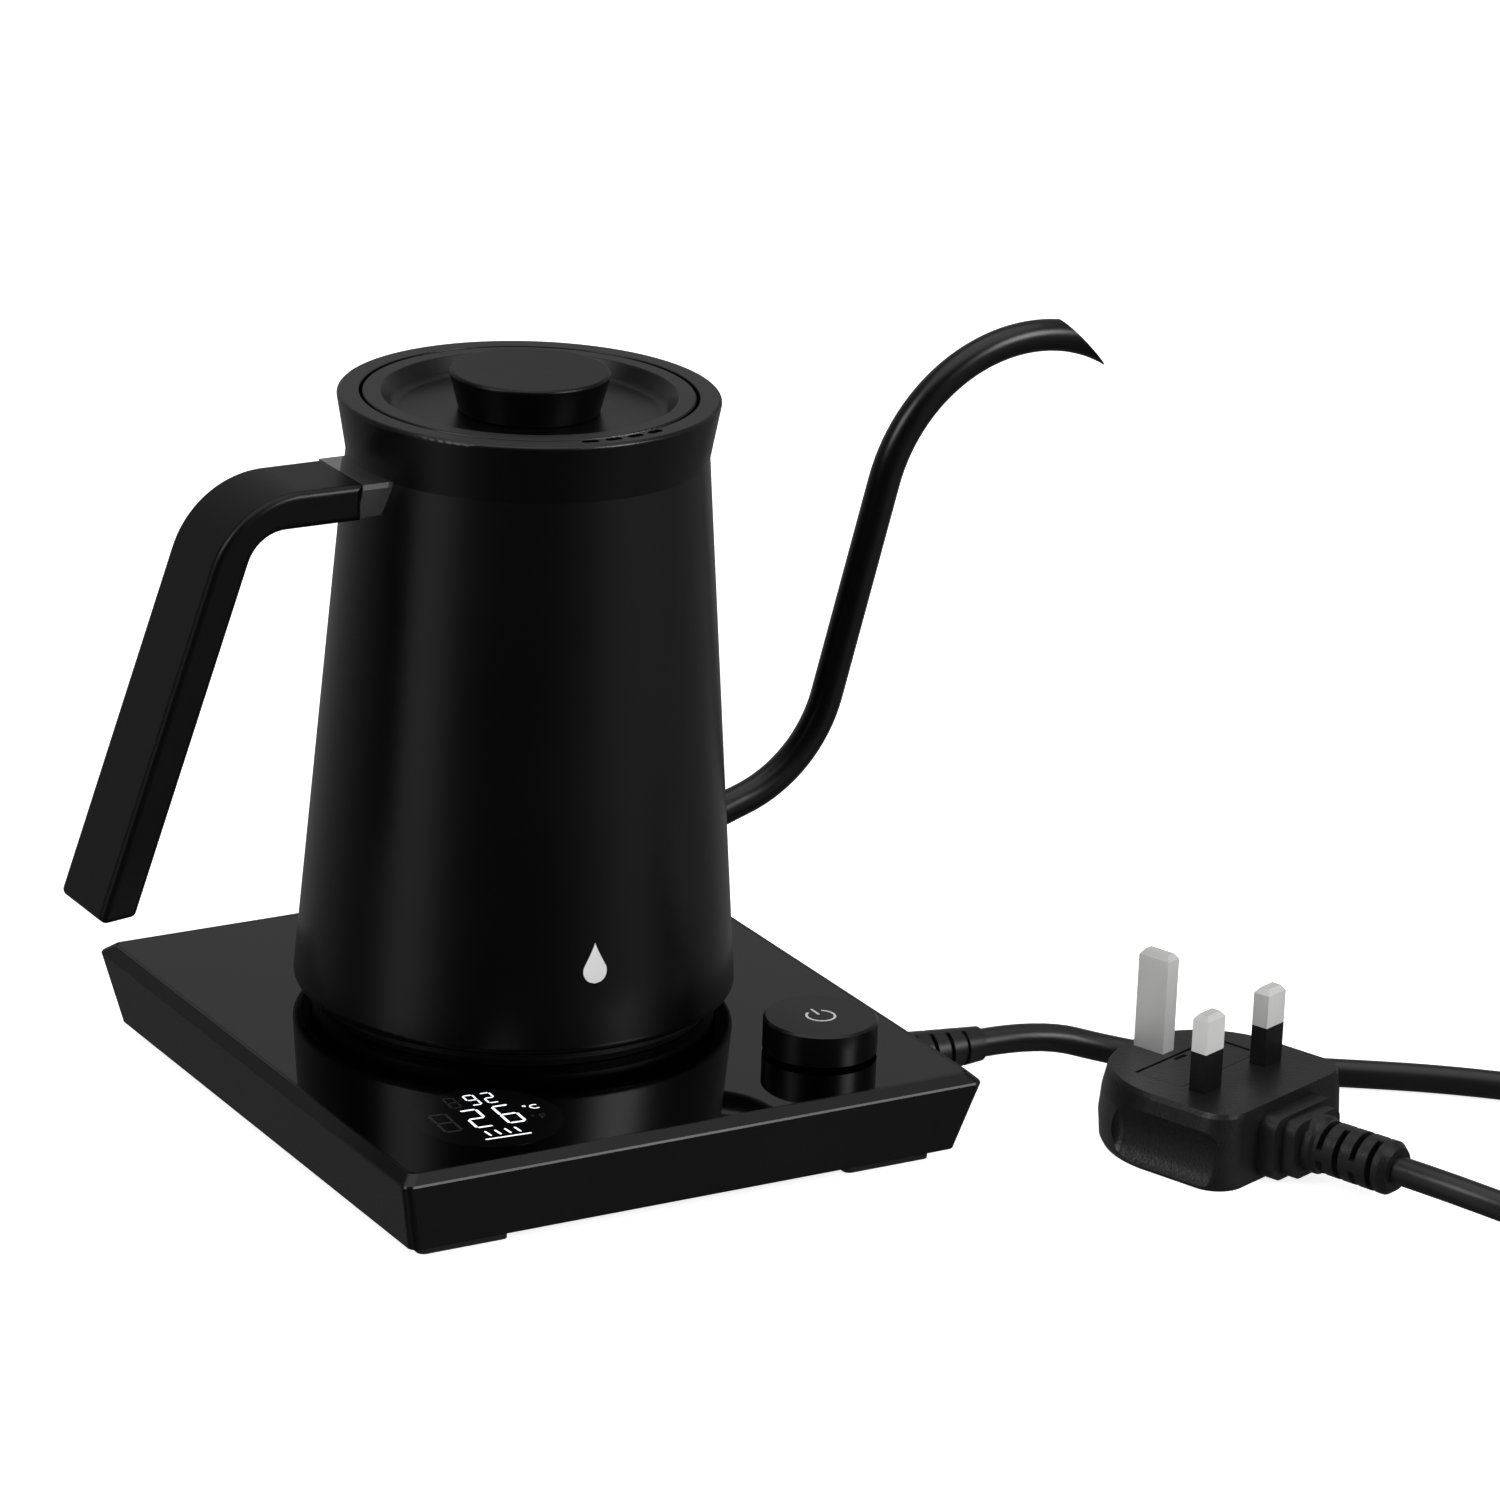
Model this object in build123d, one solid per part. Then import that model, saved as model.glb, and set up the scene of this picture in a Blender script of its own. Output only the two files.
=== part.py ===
"""Electric gooseneck kettle: a lidded jug with a long thin spout, standing on a square power base.

Millimetres, +Z up. +X runs along the front edge towards the spout, and +Y from the front edge, with
its display and knob, to the back. The design is laid out from the middle of the base, on the table,
and the last step moves it by MIDDLE_X so that the origin is under the middle of the whole outline,
from the handle's end to the spout's tip.
"""
import os
from math import atan2, cos, degrees, pi, radians, sin, tan

from build123d import *

MIDDLE_X = 21.5           # from the middle of the base to the middle of the whole outline

# ---- power base ----
BASE_W = 140.0            # top outline along X
BASE_D = 151.0            # top outline along Y
WALL_IN = 3.9             # how far each wall leans in by its bottom edge
WALL_BOTTOM = 3.2         # bottom edge of the walls, which is also the height of the feet
WALL_TOP = 19.3           # outer top edge
RIM_IN = 2.3              # width of the sloping rim round the glass
GLASS_TOP = 21.2
GLASS_T = 3.0
CORNER_R = 2.0
WALL_T = 2.5
DECK_T = 2.0
COVER_T = 2.0             # bottom cover
FIT = 0.15                # gap round a part that drops into a pocket
FOOT_L = 21.0
FOOT_W = 9.0
FOOT_STEP = 3.0
FOOT_X = 62.0             # outer end of each foot
FOOT_Y = 67.5             # outer side of each foot

# ---- jug ----
JUG_Y = 9.2               # the jug's axis stands this far behind the middle of the base
SHELL_BOTTOM = 25.3
NECK_Z = 146.0
BODY_R_LOW = 48.65        # radius at the bottom edge
BODY_R_NECK = 39.15
BODY_T = 1.0
RIM_Z = 158.9
RIM_R = 41.4
BORE_R = 36.5             # collar's bore, which the lid closes
FLOOR_Z = 42.0            # inside floor of the jug
HUB_R = 21.5

# ---- spout ----
SPOUT_D = 7.2
SPOUT_T = 0.5
SPOUT_ROOT = (44.0, 54.2)         # (distance from the jug's axis, height)
SPOUT_KNEE = (73.2, 63.7)
SPOUT_RISE = (100.0, 166.75)      # a point that the straight rising run aims at
SPOUT_TOP = 157.75                # height of the centreline at the crest
SPOUT_PAST = 31.0                 # how far the crest's arc turns down past level, in degrees
SPOUT_KNEE_R = 31.5
SPOUT_CREST_R = 39.4

# ---- handle ----
HANDLE_TOP = 146.4
HANDLE_T = 8.0
HANDLE_W = 21.0
HANDLE_LEAN = 18.8        # of the grip from upright, in degrees
HANDLE_CORNER_X = -74.4   # where the outer faces would meet
HANDLE_LOW_Z = 56.5
HANDLE_BEND_R = 22.0
HANDLE_INNER_R = 9.0
HANDLE_START_X = -44.8    # joint between bracket and grip
HANDLE_END_SLANT = 3.6    # the end face rises this much towards the jug
TONGUE_L = 20.0

# ---- lid ----
LID_R = 35.8
LID_SKIRT_R = 34.6
DISH_R = 32.0
DISH_FLOOR_R = 29.2
DISH_FLOOR_Z = 155.2
LID_BOTTOM = 147.0
KNOB_R_TOP = 17.45
KNOB_R_LOW = 15.2
KNOB_TOP = 164.0

# ---- control knob, display ----
DIAL_X, DIAL_Y = 44.3, -48.7
DIAL_R = 12.5
DIAL_TOP = 29.3
DIAL_GAP = 0.9            # gap under the knob, a little more than its press
SHAFT_R = 3.0
DISPLAY_X, DISPLAY_Y = -38.7, -52.5
DISPLAY_R = 16.0

# ---- mains lead ----
CORD_D = 6.4
GLAND_Y = -38.0
GLAND_Z = 11.0
GROMMET_R = 4.3           # through the wall
JACKET_R = 3.0            # of the lead inside the base
GLAND_OUT = 22.0          # length of the strain relief outside the wall
PLUG_X, PLUG_Y = 117.2, -70.0     # earth pin
PLUG_TURN = 19.9          # of the plug's live-neutral line from +X, in degrees
PLUG_T = 17.5             # pin face above the table
PLUG_HALF = 22.4          # half width of the pin face
PLUG_CROWN_V = 15.9       # from the earth pin to the middle of the half-round crown
PLUG_END = 36.8           # from the earth pin to the flat end that the cord leaves
PLUG_CORNER = 6.8
COIL_TURN_R = 35.2        # middle of the coil's turns
COIL_U, COIL_V = 50.0, 122.0      # coil's centre in the plug's directions
COIL_LIFT = 0.8           # the strap under the coil lifts it by this much

os.makedirs("parts", exist_ok=True)


# ---- helpers ----
def block(x0, x1, y0, y1, z0, z1):
    """A box from its six faces."""
    return Pos((x0 + x1) / 2, (y0 + y1) / 2, (z0 + z1) / 2) * Box(x1 - x0, y1 - y0, z1 - z0)


def rod(x, y, z0, z1, r):
    """An upright cylinder."""
    return Pos(x, y, (z0 + z1) / 2) * Cylinder(r, z1 - z0)


def ring(x, y, z0, z1, r_out, r_in):
    """An upright tube."""
    return rod(x, y, z0, z1, r_out) - rod(x, y, z0 - 1, z1 + 1, r_in)


def lathe(points, x=0.0, y=JUG_Y, round_at=()):
    """A closed outline of (radius, height) points turned about an upright axis.

    round_at holds pairs of point number and fillet radius.
    """
    face = make_face(Polyline(*[(r, z) for r, z in points], close=True))
    for index, radius in round_at:
        here = Vector(*points[index])
        corner = face.vertices().sort_by_distance(here)[0]
        face = fillet(corner, radius)
    return Pos(x, y, 0) * revolve(Plane.XZ * face, Axis.Z)


def rect_stack(layers, radius):
    """A solid through level rounded rectangles, each given as (width, depth, height)."""
    faces = [Pos(0, 0, z) * RectangleRounded(w, d, radius) for w, d, z in layers]
    return loft([f.face() for f in faces], ruled=True)


def wall_inset(z):
    """How far the base's wall stands in from its top outline at a height."""
    return WALL_IN * (WALL_TOP - z) / (WALL_TOP - WALL_BOTTOM)


def body_r(z):
    """Outer radius of the jug's tapered body at a height."""
    share = (z - SHELL_BOTTOM) / (NECK_Z - SHELL_BOTTOM)
    return BODY_R_LOW + (BODY_R_NECK - BODY_R_LOW) * share


def group(solids):
    """Several separate solids as one node."""
    return Compound([solid for part in solids for solid in part.solids()])


# ---- power base ----
def base_outline(inset, z0, z1):
    """The base's tapered block, stood in by inset, between two heights."""
    layers = []
    for z in (z0, z1):
        lean = wall_inset(z) + inset
        layers.append((BASE_W - 2 * lean, BASE_D - 2 * lean, z))
    return rect_stack(layers, CORNER_R)


BEVEL = 0.3
GLASS_BOTTOM = GLASS_TOP - GLASS_T
DECK_BOTTOM = GLASS_BOTTOM - DECK_T
GLASS_W = BASE_W - 2 * RIM_IN
GLASS_D = BASE_D - 2 * RIM_IN
CONNECTOR_HOLE_R = 18.4
SCREW_HOLE_R = 1.25
DIAL_HOLE_R = 4.2
BOSSES = [(sx * 58.5, sy * 63.0) for sx in (-1, 1) for sy in (-1, 1)]
CLAMP_X = 56.0
CLAMP_POSTS = [(CLAMP_X, GLAND_Y + side * 6.4) for side in (-1, 1)]


def base_housing():
    layers = [
        (BASE_W - 2 * WALL_IN, BASE_D - 2 * WALL_IN, WALL_BOTTOM),
        (BASE_W - 0.2, BASE_D - 0.2, WALL_TOP - BEVEL),
        (BASE_W - 2 * BEVEL, BASE_D - 2 * BEVEL, WALL_TOP + BEVEL / 2),
        (GLASS_W, GLASS_D, GLASS_TOP),
    ]
    shell = rect_stack(layers, CORNER_R)
    shell -= base_outline(WALL_T, WALL_BOTTOM - 1, DECK_BOTTOM)
    glass_bed = Pos(0, 0, GLASS_TOP) * Box(GLASS_W - 1.2, GLASS_D - 1.2, 2 * GLASS_T)
    shell -= glass_bed
    shell -= rod(0, JUG_Y, 0, 40, CONNECTOR_HOLE_R)
    shell -= rod(DIAL_X, DIAL_Y, 0, 40, DIAL_HOLE_R)
    shell -= rod(DISPLAY_X, DISPLAY_Y, 0, 40, DISPLAY_R)
    for x, y in BOSSES:
        shell += rod(x, y, WALL_BOTTOM + COVER_T + 0.5, DECK_BOTTOM + 0.1, 3.5)
        shell -= rod(x, y, WALL_BOTTOM, 13.0, SCREW_HOLE_R)
    for x, y in CLAMP_POSTS:
        shell += rod(x, y, GLAND_Z, DECK_BOTTOM + 0.1, 2.6)
        shell -= rod(x, y, GLAND_Z - 1, 14.6, SCREW_HOLE_R)
    return shell - gland_hole()


def glass_top():
    plate = Pos(0, 0, GLASS_TOP - GLASS_T / 2) * Box(GLASS_W - 1.4, GLASS_D - 1.4, GLASS_T)
    plate = fillet(plate.edges().filter_by(Axis.Z), CORNER_R - 0.6)
    plate -= rod(0, JUG_Y, 0, 40, CONNECTOR_HOLE_R)
    plate -= rod(DIAL_X, DIAL_Y, 0, 40, DIAL_HOLE_R)
    return plate


def base_bottom_cover():
    low = WALL_BOTTOM + 0.4
    layers = []
    for z in (low, low + COVER_T):
        lean = wall_inset(z) + WALL_T + FIT
        layers.append((BASE_W - 2 * lean, BASE_D - 2 * lean, z))
    plate = rect_stack(layers, CORNER_R)
    for x, y in BOSSES:
        plate -= rod(x, y, 0, 10, 1.7)
        plate -= rod(x, y, 0, low + 0.9, 3.0)
    slots = [(x, y) for x in range(-30, 31, 6) for y in (44, 58)]
    for x, y in slots:
        plate -= block(x - 1, x + 1, y - 5, y + 5, 0, 10)
    return plate


def rubber_feet():
    """Four long pads, each with a low step at its inner end, stuck under the bottom cover."""
    top = WALL_BOTTOM + 0.4
    inner = FOOT_X - FOOT_L
    pad = block(inner, FOOT_X, FOOT_Y - FOOT_W, FOOT_Y, 0, top)
    pad = fillet(pad.edges().filter_by(Axis.Z), 1.5)
    pad += block(inner - FOOT_STEP, inner + 2, FOOT_Y - FOOT_W + 1, FOOT_Y - 1, 1.4, top)
    right = [pad, mirror(pad, Plane.XZ)]
    return group(right + [mirror(one, Plane.YZ) for one in right])


def pan_screw(x, y, z_head, length, r=1.2, head_r=2.6, head_h=0.8):
    """An upright cross-head screw with its head below and its point above."""
    head = rod(x, y, z_head, z_head + head_h, head_r)
    shank = rod(x, y, z_head + head_h, z_head + head_h + length, r)
    cross = block(x - 1.4, x + 1.4, y - 0.3, y + 0.3, z_head - 1, z_head + 0.45)
    cross += block(x - 0.3, x + 0.3, y - 1.4, y + 1.4, z_head - 1, z_head + 0.45)
    return head + shank - cross


def base_cover_screws():
    low = WALL_BOTTOM + 0.4
    return group(pan_screw(x, y, low + 0.1, 7.5) for x, y in BOSSES)


# ---- 360-degree connector ----
BOSS_TOP = 26.2
PIN_SOCKET_R = 3.0
RING_SLOTS = ((7.0, 8.8), (12.0, 13.8))


def base_connector():
    """The round boss that stands up through the glass, with a pin socket and two ring slots."""
    body = rod(0, JUG_Y, 10.0, BOSS_TOP, CONNECTOR_HOLE_R - FIT)
    body = fillet(body.faces().sort_by(Axis.Z)[-1].edges(), 1.0)
    body += rod(0, JUG_Y, 13.0, DECK_BOTTOM, 22.0)
    body -= rod(0, JUG_Y, 15.0, 40, PIN_SOCKET_R)
    for r_in, r_out in RING_SLOTS:
        body -= ring(0, JUG_Y, 15.0, 40, r_out, r_in)
    return body


def contact_spring(r):
    """A small brass leaf standing at the bottom of a slot."""
    return block(r - 0.55, r + 0.55, JUG_Y - 2.0, JUG_Y + 2.0, 15.0, 19.0)


def base_contacts():
    middles = [sum(slot) / 2 for slot in RING_SLOTS]
    return group([rod(0, JUG_Y, 15.0, 18.6, 2.2)] + [contact_spring(r) for r in middles])


def connector_hub():
    """The jug's half of the connector, a cup that drops over the boss."""
    hub = rod(0, JUG_Y, BOSS_TOP + 0.8, 33.0, HUB_R - 0.6)
    hub += ring(0, JUG_Y, GLASS_TOP + 1.2, 33.0, HUB_R - 0.6, CONNECTOR_HOLE_R + 0.3)
    hub -= rod(0, JUG_Y, 0, 31.0, 2.2)
    for low, high in HUB_RINGS:
        hub -= ring(0, JUG_Y, 0, 31.0, high, low)
    return hub


HUB_RINGS = ((7.4, 8.4), (12.4, 13.4))


def hub_contacts():
    """The earth pin in the middle and the two ring contacts round it."""
    pin = rod(0, JUG_Y, 19.4, 31.0, 2.2)
    pin = fillet(pin.faces().sort_by(Axis.Z)[0].edges(), 1.0)
    return group([pin] + [ring(0, JUG_Y, 20.0, 31.0, high, low) for low, high in HUB_RINGS])


# ---- electronics inside the base ----
def circuit_board(x0, x1, y0, y1, z0):
    board = block(x0, x1, y0, y1, z0, z0 + 1.6)
    for x in (x0 + 3, x1 - 3):
        for y in (y0 + 3, y1 - 3):
            board -= rod(x, y, z0 - 1, z0 + 3, 1.3)
    return board


BOARD_Z = 6.6
POWER_BOARD = (-58.0, -24.0, -30.0, 46.0)
CONTROL_BOARD = (-54.4, 28.0, -66.0, -38.0)


def transformer():
    core = block(-50, -34, 20, 38, BOARD_Z + 1.6, BOARD_Z + 9.0)
    winding = block(-52, -32, 24, 34, BOARD_Z + 1.8, BOARD_Z + 8.4)
    return core + winding


def relay():
    body = block(-52, -37, -6, 14, BOARD_Z + 1.6, BOARD_Z + 9.2)
    return fillet(body.edges().filter_by(Axis.Z), 0.6)


def capacitors():
    places = [(-31, 2, 4.0), (-31, 13, 3.0), (-48, -16, 4.5)]
    return group(rod(x, y, BOARD_Z + 1.6, BOARD_Z + 8.6, r) for x, y, r in places)


def triac_heat_sink():
    plate = block(-42, -28, -26, -24.5, BOARD_Z + 1.6, BOARD_Z + 9.0)
    for step in range(4):
        x = -41 + step * 4
        plate += block(x, x + 1, -24.5, -20, BOARD_Z + 1.6, BOARD_Z + 9.0)
    return plate


def buzzer():
    can = rod(8, -52, BOARD_Z + 1.6, BOARD_Z + 7.6, 6.0)
    return can - rod(8, -52, BOARD_Z + 6.6, BOARD_Z + 9, 1.0)


def control_chip():
    return block(-10, -2, -56, -48, BOARD_Z + 1.6, BOARD_Z + 3.2)


def display_module():
    """The block of light segments under the round window."""
    half = 11.0
    low, high = BOARD_Z + 1.6, DECK_BOTTOM - 0.1
    module = Pos(DISPLAY_X, DISPLAY_Y, (low + high) / 2) * Box(2 * half, 2 * half, high - low)
    return fillet(module.edges().filter_by(Axis.Z), 1.0)


def display_window():
    """A dark round light guide that fills the hole in the deck."""
    return rod(DISPLAY_X, DISPLAY_Y, DECK_BOTTOM, GLASS_BOTTOM, DISPLAY_R - FIT)


# ---- rotary control ----
BUSH_R = 3.6
DIAL_LOW = GLASS_TOP + DIAL_GAP


def encoder_body():
    body = block(DIAL_X - 6.2, DIAL_X + 6.2, DIAL_Y - 6.2, DIAL_Y + 6.2, BOARD_Z, 14.0)
    body += rod(DIAL_X, DIAL_Y, 13.0, GLASS_BOTTOM + 1.4, BUSH_R)
    body -= rod(DIAL_X, DIAL_Y, 9.0, 40, SHAFT_R + 0.05)
    return body


def encoder_nut():
    nut = extrude(Pos(DIAL_X, DIAL_Y, 14.0) * RegularPolygon(6.2, 6), DECK_BOTTOM - 14.0 - 0.05)
    return nut - rod(DIAL_X, DIAL_Y, 0, 40, BUSH_R)


def encoder_plunger():
    """The push switch's button under the shaft."""
    return rod(DIAL_X, DIAL_Y, 10.0, 11.2, 2.0)


def encoder_shaft():
    shaft = rod(DIAL_X, DIAL_Y, 11.2, DIAL_TOP - 3.0, SHAFT_R)
    flat = block(DIAL_X + 1.8, DIAL_X + 5, DIAL_Y - 5, DIAL_Y + 5, DIAL_LOW + 1.0, 40)
    return shaft - flat


def control_knob():
    """A turned knob with a chamfered top edge, pushed onto the flatted shaft."""
    knob = rod(DIAL_X, DIAL_Y, DIAL_LOW, DIAL_TOP, DIAL_R)
    knob = chamfer(knob.faces().sort_by(Axis.Z)[-1].edges(), 0.5)
    knob -= rod(DIAL_X, DIAL_Y, DIAL_LOW - 1, DIAL_LOW + 1.0, 6.0)
    return knob - encoder_shaft()


# ---- jug ----
def body_outline():
    low = SHELL_BOTTOM
    return [
        (44.6, low), (BODY_R_LOW, low), (BODY_R_NECK, NECK_Z), (BODY_R_NECK - BODY_T, NECK_Z),
        (BODY_R_LOW - BODY_T - 0.08, low + BODY_T), (44.6, low + BODY_T),
    ]


def spout_hole():
    path = spout_path()
    circle = Plane(origin=path @ 0, z_dir=path % 0) * Circle(SPOUT_D / 2)
    return sweep(circle.face(), path=path)


def jug_body():
    shell = lathe(body_outline(), round_at=((1, 1.8), (4, 0.9)))
    return shell - spout_hole()


COLLAR_SPIGOT = 6.0
VENT_START, VENT_STEP = -98.5, 8.2      # degrees round the jug from +X
VENT_R = 37.8


def rim_collar():
    """The flared collar, with a spigot inside the body's top and four steam vents in its rim."""
    inner = BODY_R_NECK - BODY_T - 0.02
    points = [
        (BORE_R, NECK_Z - COLLAR_SPIGOT), (inner - 0.2, NECK_Z - COLLAR_SPIGOT), (inner, NECK_Z),
        (BODY_R_NECK, NECK_Z), (RIM_R, RIM_Z), (BORE_R, RIM_Z),
    ]
    collar = lathe(points, round_at=((4, 0.8), (5, 0.25)))
    collar -= vent_gallery()
    for step in range(4):
        collar -= vent_slot(VENT_START + VENT_STEP * step)
    return collar


def vent_gallery():
    """A recess in the bore behind the slots, so that steam can reach them from inside."""
    inner, outer, low, high = BORE_R - 1, 38.7, 153.2, 156.2
    face = make_face(Polyline((inner, low), (outer, low), (outer, high), (inner, high), close=True))
    sector = revolve(Plane.XZ * face, Axis.Z, revolution_arc=34)
    return Pos(0, JUG_Y, 0) * Rot(0, 0, VENT_START - 5.0) * sector


def vent_slot(angle):
    """One slot of the rim, a rounded 4 by 2 mm opening down into the gallery."""
    slot = SlotOverall(3.9, 1.7)
    place = Pos(0, JUG_Y, 0) * Rot(0, 0, angle) * Pos(VENT_R, 0, 155.0) * Rot(0, 0, 90)
    return extrude(place * slot, 10)


def inside_disc(z0, z1, clearance=0.0):
    """A disc that fills the jug's bore between two heights."""
    r = [body_r(z) - BODY_T - clearance for z in (z0, z1)]
    return lathe([(0, z0), (r[0], z0), (r[1], z1), (0, z1)])


SENSOR = (12.0, JUG_Y + 6.0)
STUDS = [(38.0 * cos(radians(a)), JUG_Y + 38.0 * sin(radians(a))) for a in (90, 210, 330)]


def floor_plate():
    plate = inside_disc(FLOOR_Z - 1.0, FLOOR_Z, 0.12)
    return plate - rod(*SENSOR, 0, 60, 2.5)


def heat_spreader():
    return rod(0, JUG_Y, 38.5, FLOOR_Z - 1.0, 35.0) - rod(*SENSOR, 0, 60, 2.5)


def heating_element():
    """An open ring of sheathed element under the spreader, with its two cold ends turned down."""
    path = Pos(0, JUG_Y, 35.2) * CenterArc((0, 0), 28.0, 115, 310)
    section = Plane(origin=path @ 0, z_dir=path % 0) * Circle(3.2)
    body = sweep(section.face(), path=path)
    body -= block(-60, 60, -60, 80, 38.5, 60)
    return body


def temperature_sensor():
    """The probe that stands through the floor into the water."""
    probe = rod(*SENSOR, 34.0, FLOOR_Z + 3.5, 2.5)
    return fillet(probe.faces().sort_by(Axis.Z)[-1].edges(), 1.5)


def thermal_cutout():
    body = block(-13, 1, JUG_Y - 7, JUG_Y + 7, 33.4, 38.5)
    return fillet(body.edges().filter_by(Axis.Z), 1.0)


def cover_studs():
    return group(ring(x, y, 30.0, FLOOR_Z - 1.0, 2.6, 1.5) for x, y in STUDS)


def jug_bottom_cover():
    """The plastic underside with the foot ring that stands on the glass."""
    points = [
        (HUB_R, 26.6), (HUB_R, 23.0), (38.5, 23.0), (40.2, GLASS_TOP + 0.15), (43.6, GLASS_TOP + 0.15),
        (44.4, 23.0), (44.4, 28.8), (42.0, 28.8), (42.0, 26.6),
    ]
    cover = lathe(points)
    for x, y in STUDS:
        cover += rod(x, y, 26.6, 30.0, 3.6)
        cover -= rod(x, y, 24.8, 31.0, 1.65)
        cover -= rod(x, y, 22.0, 25.2, 3.1)
    return cover


def jug_cover_screws():
    return group(pan_screw(x, y, 24.0, 10.5, r=1.5, head_r=2.8, head_h=1.2) for x, y in STUDS)


# ---- spout ----
def spout_path():
    """Nearly level root, a wide knee, a steep straight run and one long arc over to the tip."""
    rise = atan2(SPOUT_RISE[1] - SPOUT_KNEE[1], SPOUT_RISE[0] - SPOUT_KNEE[0])
    crest_x = SPOUT_KNEE[0] + (SPOUT_TOP - SPOUT_KNEE[1]) / tan(rise)
    level_x = crest_x + SPOUT_CREST_R * tan(rise / 2) + 0.01
    points = [SPOUT_ROOT, SPOUT_KNEE, (crest_x, SPOUT_TOP), (level_x, SPOUT_TOP)]
    spine = FilletPolyline(*[(x, JUG_Y, z) for x, z in points], radius=[SPOUT_KNEE_R, SPOUT_CREST_R])
    middle = (level_x, SPOUT_TOP - SPOUT_CREST_R)
    tip = Plane.XZ.offset(-JUG_Y) * CenterArc(middle, SPOUT_CREST_R, 90, -SPOUT_PAST)
    return Wire(spine.edges() + tip.edges())


def spout_tube():
    path = spout_path()
    start = Plane(origin=path @ 0, z_dir=path % 0)
    tube = sweep((start * Circle(SPOUT_D / 2)).face(), path=path)
    tube -= sweep((start * Circle(SPOUT_D / 2 - SPOUT_T)).face(), path=path)
    tube -= inside_disc(SPOUT_ROOT[1] - 15, SPOUT_ROOT[1] + 15)
    return tube - tip_cut()


def tip_cut():
    """Cuts the spout's end on a slant, which leaves a pointed lip below."""
    upper = Vector(134.6, 0, 160.6)
    lower = Vector(145.9, 0, 149.7)
    along = lower - upper
    slope = degrees(atan2(along.Z, along.X))
    cutter = Box(60, 40, 40, align=(Align.CENTER, Align.CENTER, Align.MIN))
    middle = (upper + lower) / 2
    return Pos(middle.X, JUG_Y, middle.Z) * Rot(0, -slope, 0) * cutter


def level_rod(x0, x1, y, z, r):
    """A cylinder that lies along X."""
    return Pos((x0 + x1) / 2, y, z) * Rot(0, 90, 0) * Cylinder(r, x1 - x0)


def spout_strainer():
    """A small perforated cup on the wall inside, over the spout's mouth."""
    z = 55.0
    wall = body_r(z) - BODY_T
    cup = level_rod(wall - 3.0, wall + 1, JUG_Y, z, 6.5)
    cup -= level_rod(wall - 2.4, wall + 6, JUG_Y, z, 5.9)
    holes = [(0.0, 0.0)] + [(3.4 * cos(radians(60 * i)), 3.4 * sin(radians(60 * i))) for i in range(6)]
    for y, up in holes:
        cup -= level_rod(wall - 4, wall, JUG_Y + y, z + up, 0.8)
    return cup & inside_disc(z - 12, z + 12, 0.02)


# ---- handle ----
def handle_outline():
    """Side view of the grip: a level arm, one bend and a straight leaning grip."""
    lean = radians(HANDLE_LEAN)
    down = Vector(-sin(lean), -cos(lean))
    outer = Vector(HANDLE_CORNER_X, HANDLE_TOP)
    turn = pi / 2 - lean
    shift = HANDLE_T * tan(turn / 2)
    inner = Vector(HANDLE_CORNER_X + shift, HANDLE_TOP - HANDLE_T)
    outer_end = outer + down * ((HANDLE_TOP - HANDLE_LOW_Z) / cos(lean))
    inner_end = outer_end + Vector(cos(lean), -sin(lean)) * HANDLE_T - down * HANDLE_END_SLANT
    points = [Vector(HANDLE_START_X, HANDLE_TOP), outer, outer_end, inner_end, inner]
    points.append(Vector(HANDLE_START_X, HANDLE_TOP - HANDLE_T))
    face = make_face(Polyline(*[(p.X, p.Y) for p in points], close=True))
    bends = ((outer, HANDLE_BEND_R), (inner, HANDLE_INNER_R), (outer_end, 1.6), (inner_end, 1.6))
    for place, radius in bends:
        corner = face.vertices().sort_by_distance(Vector(place.X, place.Y))[0]
        face = fillet(corner, radius)
    return face


def handle_grip():
    solid = extrude(Plane.XZ.offset(-JUG_Y) * handle_outline(), HANDLE_W / 2, both=True)
    sides = solid.faces().filter_by(Axis.Y)
    solid = fillet([e for f in sides for e in f.edges()], 1.6)
    solid -= tongue(FIT)
    low = HANDLE_TOP - HANDLE_T
    for x in SCREW_X:
        solid -= rod(x, JUG_Y, low - 1, HANDLE_TOP - 1.4, 1.7)
        solid -= rod(x, JUG_Y, low - 1, low + 1.3, 3.0)
    return solid


SCREW_X = (-51.0, -59.0)


def tongue(gap=0.0):
    """The bracket's flat tongue inside the grip."""
    half = 6.0 + gap
    mid = HANDLE_TOP - HANDLE_T / 2
    low, high = mid - 1.5 - gap, mid + 1.5 + gap
    return block(HANDLE_START_X - TONGUE_L - gap, HANDLE_START_X, JUG_Y - half, JUG_Y + half, low, high)


def handle_bracket():
    """Polished bracket between the body and the grip, narrower below than above."""
    half_top, half_low = HANDLE_W / 2, HANDLE_W / 2 - 2.6
    low = HANDLE_TOP - HANDLE_T
    side = [
        (JUG_Y - half_low, low), (JUG_Y + half_low, low), (JUG_Y + half_top, HANDLE_TOP - 1.2),
        (JUG_Y + half_top, HANDLE_TOP), (JUG_Y - half_top, HANDLE_TOP),
        (JUG_Y - half_top, HANDLE_TOP - 1.2),
    ]
    face = make_face(Polyline(*side, close=True))
    arm = extrude(Plane.YZ.offset(HANDLE_START_X) * face, 16.0)
    under, over = NECK_Z - 20, NECK_Z + 2
    collar_r = BODY_R_NECK + 0.35
    arm -= lathe([(0, under), (body_r(under), under), (BODY_R_NECK, NECK_Z), (collar_r, over), (0, over)])
    arm += tongue()
    for x in SCREW_X:
        arm -= rod(x, JUG_Y, 0, HANDLE_TOP, SCREW_HOLE_R)
    return arm


def handle_screws():
    low = HANDLE_TOP - HANDLE_T + 0.1
    return group(pan_screw(x, JUG_Y, low, 4.8, r=1.2, head_r=2.8, head_h=1.2) for x in SCREW_X)


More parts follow.
